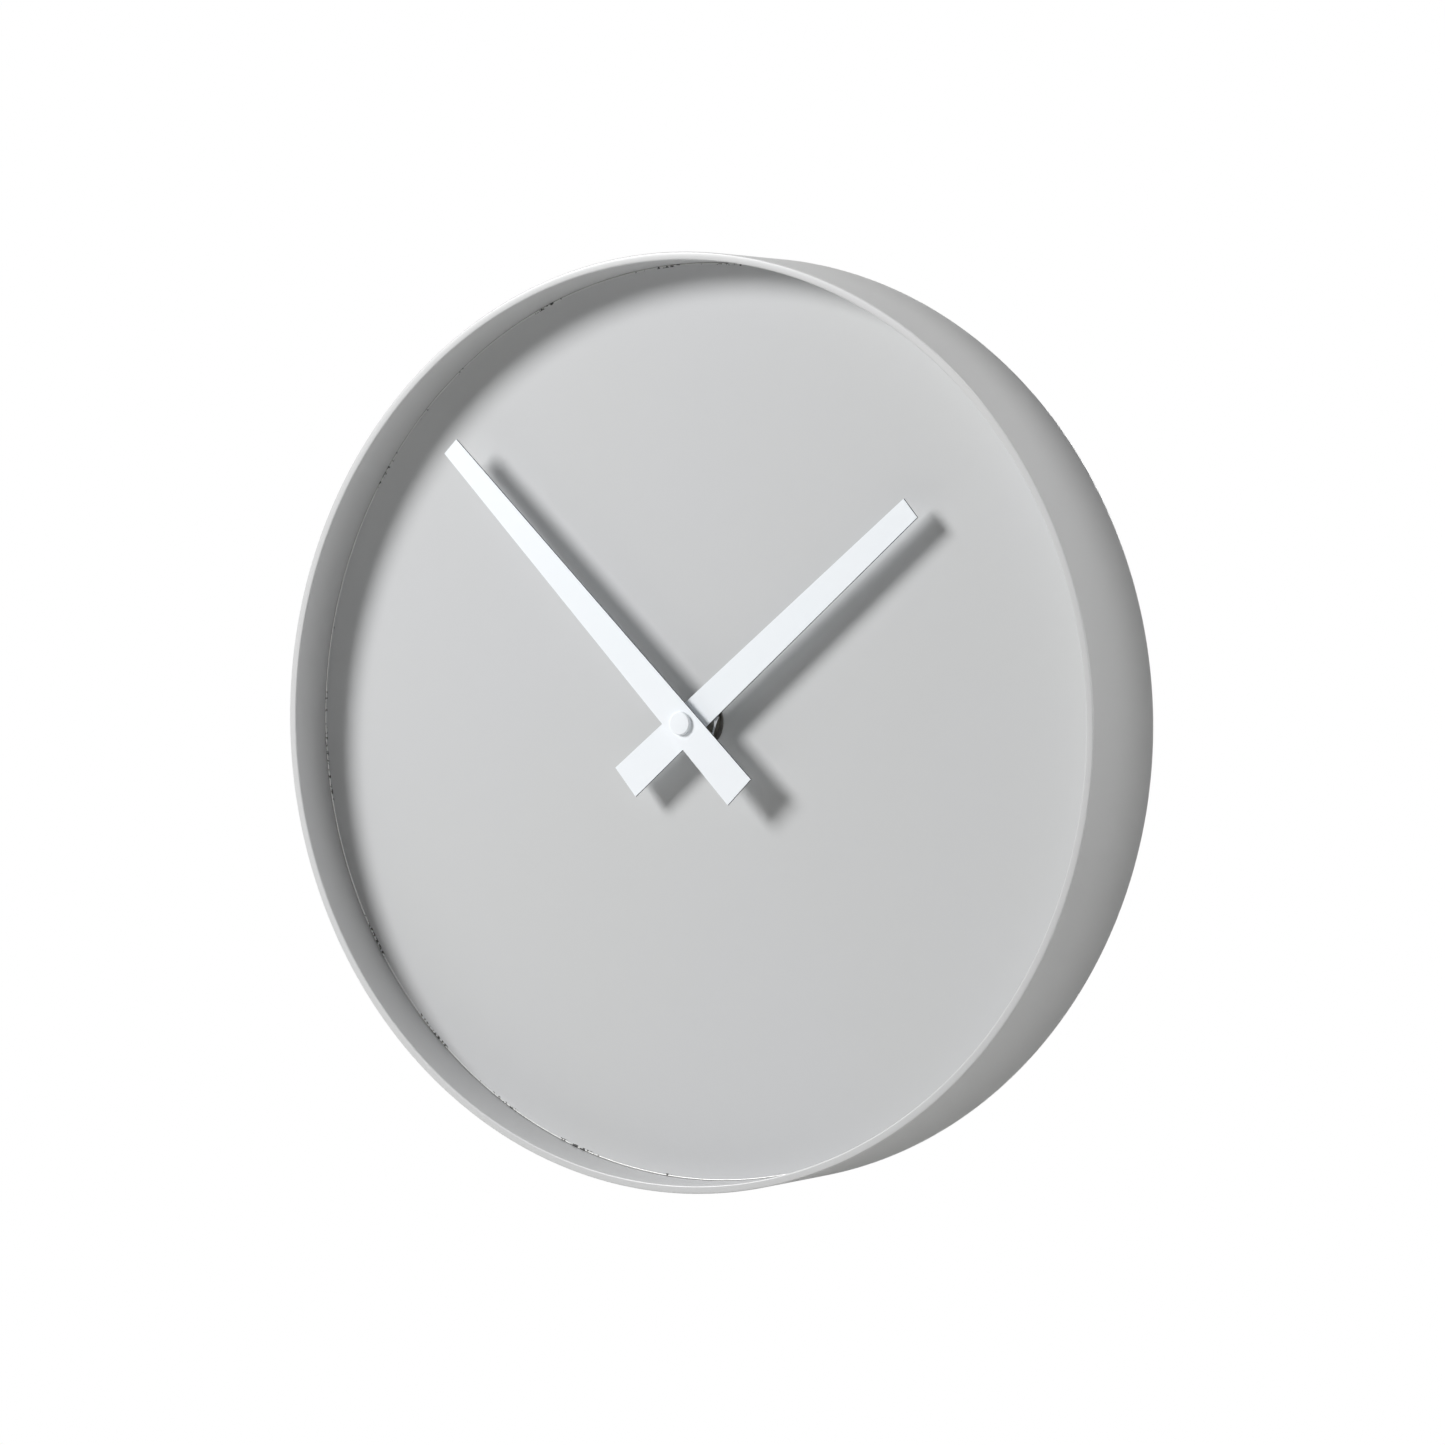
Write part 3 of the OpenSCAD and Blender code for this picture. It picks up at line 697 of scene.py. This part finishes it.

# ---------------------------------------------------------------------------------------------------
# Hands: stamped aluminium bars, narrower at the tip, with a rolled collet behind each that grips its
# arbor. Sprayed bright white on the faces; the softened sheared edges are dark grey, painted shade.


def sprayed_white():
    """Bright white spray paint, smooth and satin."""
    made, tree = new_material("white_sprayed_aluminium")
    place = add(tree, "ShaderNodeTexCoord").outputs["Object"]
    grain = add(tree, "ShaderNodeTexNoise", {"Vector": place, "Scale": 1 / (0.6 * mm), "Detail": 3.0})
    cloud = add(tree, "ShaderNodeTexNoise", {"Vector": place, "Scale": 1 / (25 * mm)})
    tone = add(tree, "ShaderNodeMix", {0: cloud.outputs["Fac"], 6: srgb("f6f9fd"), 7: srgb("f2f7fb")},
               data_type="RGBA")
    gloss = add(tree, "ShaderNodeMapRange", {"Value": grain.outputs["Fac"], "To Min": 0.38, "To Max": 0.5})
    shader = add(tree, "ShaderNodeBsdfPrincipled", {"Base Color": tone.outputs[2], "IOR": 1.5,
                                                    "Roughness": gloss.outputs[0]})
    finish(tree, shader, grain.outputs["Fac"], 0.06, 0.02 * mm)
    return made


hand_white = sprayed_white()
# Dark grey for the hands' side faces: painted shade where their edges face away from the light.
hand_edge_shade = moulded("hand_edge_painted_shade", "55575a", "4b4d50", 0.6, 0.2, 1.5, 0.01 * mm)
tail_w = 12 * mm
hand_t = 0.7 * mm
collet_h = 1.6 * mm
tube_r = 2.55 * mm
arbor_r = 1.65 * mm


def bar_hand(name, body, node, turn, length, tail, tip_w, hole_r):
    """Tapered bar with eased edges and a collet, turned clockwise from twelve."""
    low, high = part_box(node)
    face = low.y
    work = bmesh.new()
    outline = [(-tip_w / 2, length), (tip_w / 2, length), (tail_w / 2, -tail), (-tail_w / 2, -tail)]
    front = [work.verts.new((x, face, z)) for x, z in outline]
    rear = [work.verts.new((x, face + hand_t, z)) for x, z in outline]
    work.faces.new(front)
    work.faces.new(rear[::-1])
    for i in range(4):
        n = (i + 1) % 4
        # The side faces take the dark painted-shade material.
        work.faces.new((front[i], rear[i], rear[n], front[n])).material_index = 1
    bmesh.ops.recalc_face_normals(work, faces=work.faces)
    bmesh.ops.bevel(work, geom=work.edges, offset=0.06 * mm, segments=2, affect="EDGES")
    back = -face - hand_t
    sweep_round(work, [(hole_r, back - collet_h), (hole_r + 1.0 * mm, back - collet_h),
                       (hole_r + 1.2 * mm, back - collet_h + 0.2 * mm), (hole_r + 1.2 * mm, back),
                       (hole_r, back)], (0, 0), 64)
    bmesh.ops.rotate(work, cent=(0, 0, 0), matrix=Matrix.Rotation(math.radians(turn), 3, "Y"),
                     verts=work.verts)
    bar = dress(solid(name, work, 25), body, hand_white, "hand_paint", node)
    bar.data.materials.append(hand_edge_shade)
    return bar


bar_hand("hour_bar", "hour", "hour_hand", 50.1, 106.4 * mm, 30.3 * mm, 7.7 * mm, tube_r)
bar_hand("minute_bar", "minute", "minute_hand", 315.2, 125.9 * mm, 30.5 * mm, 6.6 * mm, arbor_r)

# ---------------------------------------------------------------------------------------------------
# Cap: a short turned button pressed on the end of the minute arbor over the hand, sprayed white too.
cap_low, cap_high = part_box("hand_cap")
cap_r = cap_high.x
cap_round = 0.4 * mm
cap_skin = 0.7 * mm
cap_back, cap_front = -cap_high.y, -cap_low.y
cap_profile = ([(arbor_r, cap_back), (cap_r - 0.05 * mm, cap_back), (cap_r, cap_back + 0.05 * mm)]
               + arc(cap_r - cap_round, cap_front - cap_round, cap_round, 0, 90, 8)
               + [(0, cap_front), (0, cap_front - cap_skin), (arbor_r, cap_front - cap_skin)])
dress(turned("arbor_cap", cap_profile, steps=96), "minute", hand_white, "hand_paint", "hand_cap")
